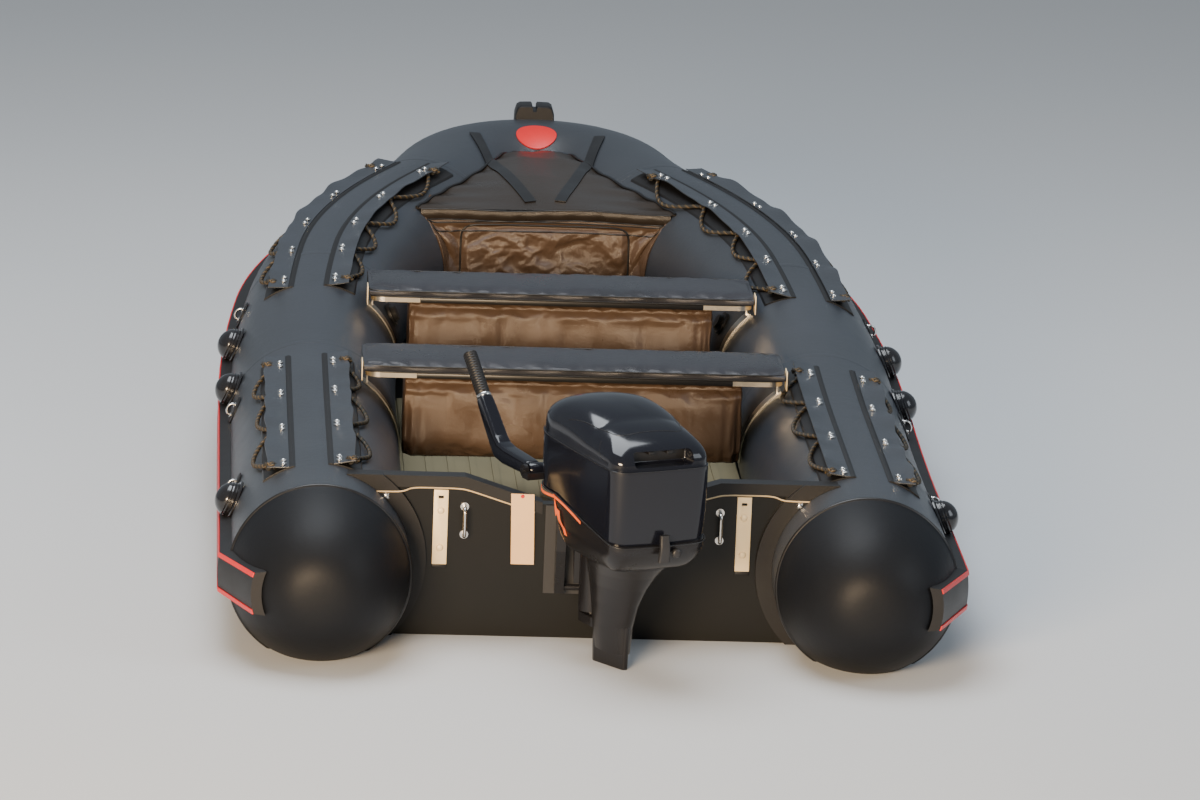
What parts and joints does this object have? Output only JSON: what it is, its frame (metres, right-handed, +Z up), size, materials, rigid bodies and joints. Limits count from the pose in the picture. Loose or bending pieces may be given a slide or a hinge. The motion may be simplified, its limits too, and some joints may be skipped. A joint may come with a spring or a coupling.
{
  "type": "inflatable rib boat",
  "caption": "Rigid-hulled inflatable boat with a U-shaped buoyancy tube, two thwarts with bags, a bow bag and a tiller-steered outboard motor.",
  "frame": {"origin": "on the waterline, on the centreline, at the transom board's aft face", "axes": "+Y towards the bow, +X to starboard, +Z up"},
  "size_m": [1.9566, 4.5514, 1.126],
  "materials": {
    "tube_fabric": "satin slate coated fabric",
    "black_rubber": "matt",
    "red_rubber": "satin",
    "rope": "braided",
    "stainless": "polished",
    "black_plastic": "matt",
    "hull_laminate": "gloss gelcoat",
    "floor_mat": "matt ribbed mat",
    "alloy": "satin",
    "cushion_cloth": "satin coated cloth",
    "bag_cloth": "satin coated cloth",
    "motor_grey": "gloss",
    "motor_black": "high gloss",
    "engine_block": "matt",
    "prop_paint": "gloss"
  },
  "bodies": {
    "boat": {"buoyancy_tube": "tube_fabric", "stern_cones": "tube_fabric", "rubbing_strake": "black_rubber", "strake_lines": "red_rubber", "outer_line_flaps": "black_rubber", "inner_line_flaps": "black_rubber", "outer_grab_line": "rope", "inner_grab_line": "rope", "side_domes": "black_rubber", "side_rings": "stainless", "inflation_valves": "black_plastic", "rigid_hull": "hull_laminate", "deck_floor": "floor_mat", "keel_guard": "black_rubber", "transom_board": "hull_laminate", "transom_top_trim": "black_rubber", "transom_collars": "black_rubber", "wheel_brackets": "alloy", "tow_eyes": "stainless", "motor_pads": "black_plastic", "rear_thwart_board": "alloy", "front_thwart_board": "alloy", "rear_cushion": "cushion_cloth", "front_cushion": "cushion_cloth", "rear_seat_bag": "bag_cloth", "front_seat_bag": "bag_cloth", "rear_thwart_brackets": "alloy", "front_thwart_brackets": "alloy", "bow_dodger": "bag_cloth", "bow_bag": "bag_cloth", "bow_fairlead": "black_rubber", "bow_patch": "red_rubber", "clamp_bracket": "motor_grey", "tilt_tube": "stainless", "clamp_screws": "stainless"},
    "swivel": {"swivel_bracket": "motor_grey"},
    "motor": {"steering_pilot": "motor_grey", "motor_leg": "motor_grey", "gearcase": "motor_grey", "motor_tray": "motor_black", "powerhead": "engine_block", "cowl_latch": "black_plastic"},
    "cowl": {"cowl": "motor_black"},
    "tiller": {"tiller_arm": "motor_black", "tiller_grip": "black_rubber"},
    "propeller": {"propeller": "prop_paint"}
  },
  "joints": [
    {"name": "motor_tilt", "type": "hinge", "parent": "boat", "child": "swivel", "pos_m": [0, 0.01, 0.382], "axis": [-1, 0, 0], "range_deg": [0, 60]},
    {"name": "motor_steer", "type": "hinge", "parent": "swivel", "child": "motor", "pos_m": [0, -0.13, 0.3], "axis": [0, 0, 1], "range_deg": [-69, 21]},
    {"name": "tiller_lift", "type": "hinge", "parent": "motor", "child": "tiller", "pos_m": [-0.15318, -0.03181, 0.455], "axis": [0.9135, 0.4067, 0], "range_deg": [0, 60]},
    {"name": "cowl_lift", "type": "slide", "parent": "motor", "child": "cowl", "axis": [0, 0, 1], "range_m": [0, 0.22]},
    {"name": "prop_spin", "type": "hinge", "parent": "motor", "child": "propeller", "pos_m": [0.09314, -0.3392, -0.29], "axis": [-0.4067, 0.9135, 0], "continuous": true}
  ]
}
